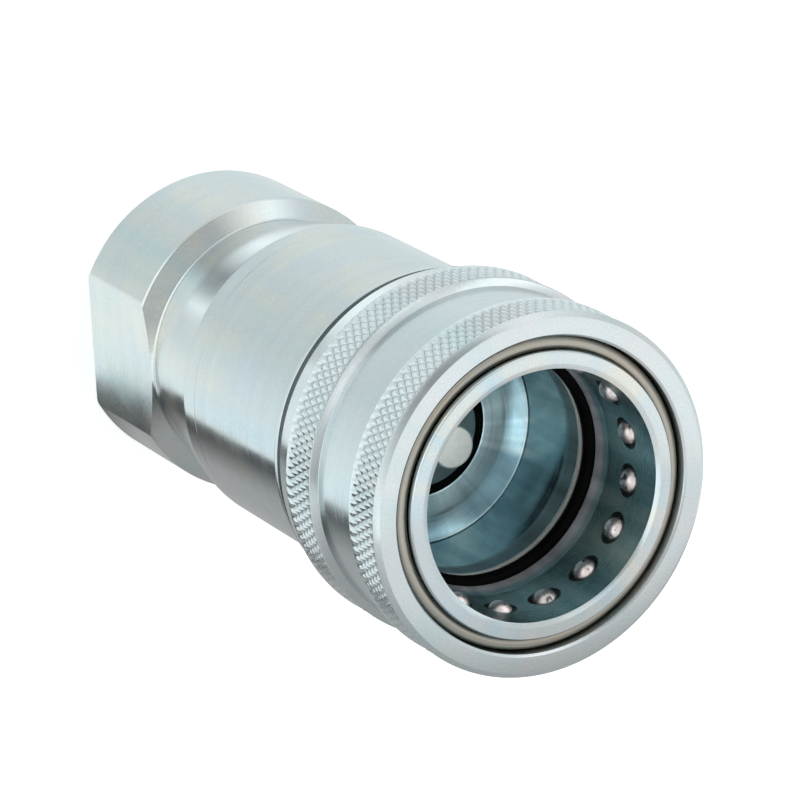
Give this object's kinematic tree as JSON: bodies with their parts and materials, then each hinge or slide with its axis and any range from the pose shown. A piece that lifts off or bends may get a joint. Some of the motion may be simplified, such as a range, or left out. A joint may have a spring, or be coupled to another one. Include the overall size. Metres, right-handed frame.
{
  "type": "quick disconnect coupler",
  "caption": "Female hydraulic quick coupler: a knurled sliding sleeve locks balls onto a probe, a spring-loaded valve seals the bore, and a flatted adapter holds the port.",
  "frame": {"origin": "centre of the rear port face", "axes": "+Z along the coupler's axis towards the nose, +X square to a wrench flat, +Y completes the right hand"},
  "size_m": [0.0544, 0.0544, 0.105],
  "materials": {
    "body_steel": "zinc plated, turned",
    "adapter_steel": "zinc plated, turned",
    "sleeve_steel": "zinc plated, knurled",
    "ball_steel": "polished ball steel",
    "bronze_wire": "dull bronze-brown wire",
    "spring_steel": "drawn wire",
    "seal_rubber": "moulded, slightly oily",
    "backup_plastic": "cream white, smooth",
    "valve_steel": "matte turned"
  },
  "bodies": {
    "coupler_body": {"front_body": "body_steel", "adapter": "adapter_steel", "snap_ring": "bronze_wire", "sleeve_spring": "spring_steel", "main_seal": "seal_rubber", "backup_ring": "backup_plastic", "body_seal": "seal_rubber", "poppet_spring": "spring_steel", "valve_guide": "valve_steel", "guide_ring": "spring_steel"},
    "sleeve": {"sleeve": "sleeve_steel"},
    "valve": {"poppet": "valve_steel", "poppet_seal": "seal_rubber"},
    "ball_01": {"ball_01": "ball_steel"},
    "ball_02": {"ball_02": "ball_steel"},
    "ball_03": {"ball_03": "ball_steel"},
    "ball_04": {"ball_04": "ball_steel"},
    "ball_05": {"ball_05": "ball_steel"},
    "ball_06": {"ball_06": "ball_steel"},
    "ball_07": {"ball_07": "ball_steel"},
    "ball_08": {"ball_08": "ball_steel"},
    "ball_09": {"ball_09": "ball_steel"},
    "ball_10": {"ball_10": "ball_steel"},
    "ball_11": {"ball_11": "ball_steel"},
    "ball_12": {"ball_12": "ball_steel"},
    "ball_13": {"ball_13": "ball_steel"},
    "ball_14": {"ball_14": "ball_steel"},
    "ball_15": {"ball_15": "ball_steel"},
    "ball_16": {"ball_16": "ball_steel"}
  },
  "joints": [
    {"name": "sleeve_slide", "type": "slide", "parent": "coupler_body", "child": "sleeve", "axis": [0, 0, -1], "range_m": [0, 0.007], "stiffness_N_per_m": 3000, "springref_m": -0.01, "deforming": ["sleeve_spring"]},
    {"name": "poppet_slide", "type": "slide", "parent": "coupler_body", "child": "valve", "axis": [0, 0, -1], "range_m": [0, 0.009], "stiffness_N_per_m": 1500, "springref_m": -0.012, "deforming": ["poppet_spring"]},
    {"name": "ball_01_slide", "type": "slide", "parent": "coupler_body", "child": "ball_01", "axis": [0.9808, 0.1951, 0], "range_m": [0, 0.0011]},
    {"name": "ball_02_slide", "type": "slide", "parent": "coupler_body", "child": "ball_02", "axis": [0.8315, 0.5556, 0], "range_m": [0, 0.0011]},
    {"name": "ball_03_slide", "type": "slide", "parent": "coupler_body", "child": "ball_03", "axis": [0.5556, 0.8315, 0], "range_m": [0, 0.0011]},
    {"name": "ball_04_slide", "type": "slide", "parent": "coupler_body", "child": "ball_04", "axis": [0.1951, 0.9808, 0], "range_m": [0, 0.0011]},
    {"name": "ball_05_slide", "type": "slide", "parent": "coupler_body", "child": "ball_05", "axis": [-0.1951, 0.9808, 0], "range_m": [0, 0.0011]},
    {"name": "ball_06_slide", "type": "slide", "parent": "coupler_body", "child": "ball_06", "axis": [-0.5556, 0.8315, 0], "range_m": [0, 0.0011]},
    {"name": "ball_07_slide", "type": "slide", "parent": "coupler_body", "child": "ball_07", "axis": [-0.8315, 0.5556, 0], "range_m": [0, 0.0011]},
    {"name": "ball_08_slide", "type": "slide", "parent": "coupler_body", "child": "ball_08", "axis": [-0.9808, 0.1951, 0], "range_m": [0, 0.0011]},
    {"name": "ball_09_slide", "type": "slide", "parent": "coupler_body", "child": "ball_09", "axis": [-0.9808, -0.1951, 0], "range_m": [0, 0.0011]},
    {"name": "ball_10_slide", "type": "slide", "parent": "coupler_body", "child": "ball_10", "axis": [-0.8315, -0.5556, 0], "range_m": [0, 0.0011]},
    {"name": "ball_11_slide", "type": "slide", "parent": "coupler_body", "child": "ball_11", "axis": [-0.5556, -0.8315, 0], "range_m": [0, 0.0011]},
    {"name": "ball_12_slide", "type": "slide", "parent": "coupler_body", "child": "ball_12", "axis": [-0.1951, -0.9808, 0], "range_m": [0, 0.0011]},
    {"name": "ball_13_slide", "type": "slide", "parent": "coupler_body", "child": "ball_13", "axis": [0.1951, -0.9808, 0], "range_m": [0, 0.0011]},
    {"name": "ball_14_slide", "type": "slide", "parent": "coupler_body", "child": "ball_14", "axis": [0.5556, -0.8315, 0], "range_m": [0, 0.0011]},
    {"name": "ball_15_slide", "type": "slide", "parent": "coupler_body", "child": "ball_15", "axis": [0.8315, -0.5556, 0], "range_m": [0, 0.0011]},
    {"name": "ball_16_slide", "type": "slide", "parent": "coupler_body", "child": "ball_16", "axis": [0.9808, -0.1951, 0], "range_m": [0, 0.0011]}
  ],
  "couplings": [
    {"joint": "ball_01_slide", "follows": "sleeve_slide", "ratio": 0.15},
    {"joint": "ball_02_slide", "follows": "sleeve_slide", "ratio": 0.15},
    {"joint": "ball_03_slide", "follows": "sleeve_slide", "ratio": 0.15},
    {"joint": "ball_04_slide", "follows": "sleeve_slide", "ratio": 0.15},
    {"joint": "ball_05_slide", "follows": "sleeve_slide", "ratio": 0.15},
    {"joint": "ball_06_slide", "follows": "sleeve_slide", "ratio": 0.15},
    {"joint": "ball_07_slide", "follows": "sleeve_slide", "ratio": 0.15},
    {"joint": "ball_08_slide", "follows": "sleeve_slide", "ratio": 0.15},
    {"joint": "ball_09_slide", "follows": "sleeve_slide", "ratio": 0.15},
    {"joint": "ball_10_slide", "follows": "sleeve_slide", "ratio": 0.15},
    {"joint": "ball_11_slide", "follows": "sleeve_slide", "ratio": 0.15},
    {"joint": "ball_12_slide", "follows": "sleeve_slide", "ratio": 0.15},
    {"joint": "ball_13_slide", "follows": "sleeve_slide", "ratio": 0.15},
    {"joint": "ball_14_slide", "follows": "sleeve_slide", "ratio": 0.15},
    {"joint": "ball_15_slide", "follows": "sleeve_slide", "ratio": 0.15},
    {"joint": "ball_16_slide", "follows": "sleeve_slide", "ratio": 0.15}
  ]
}
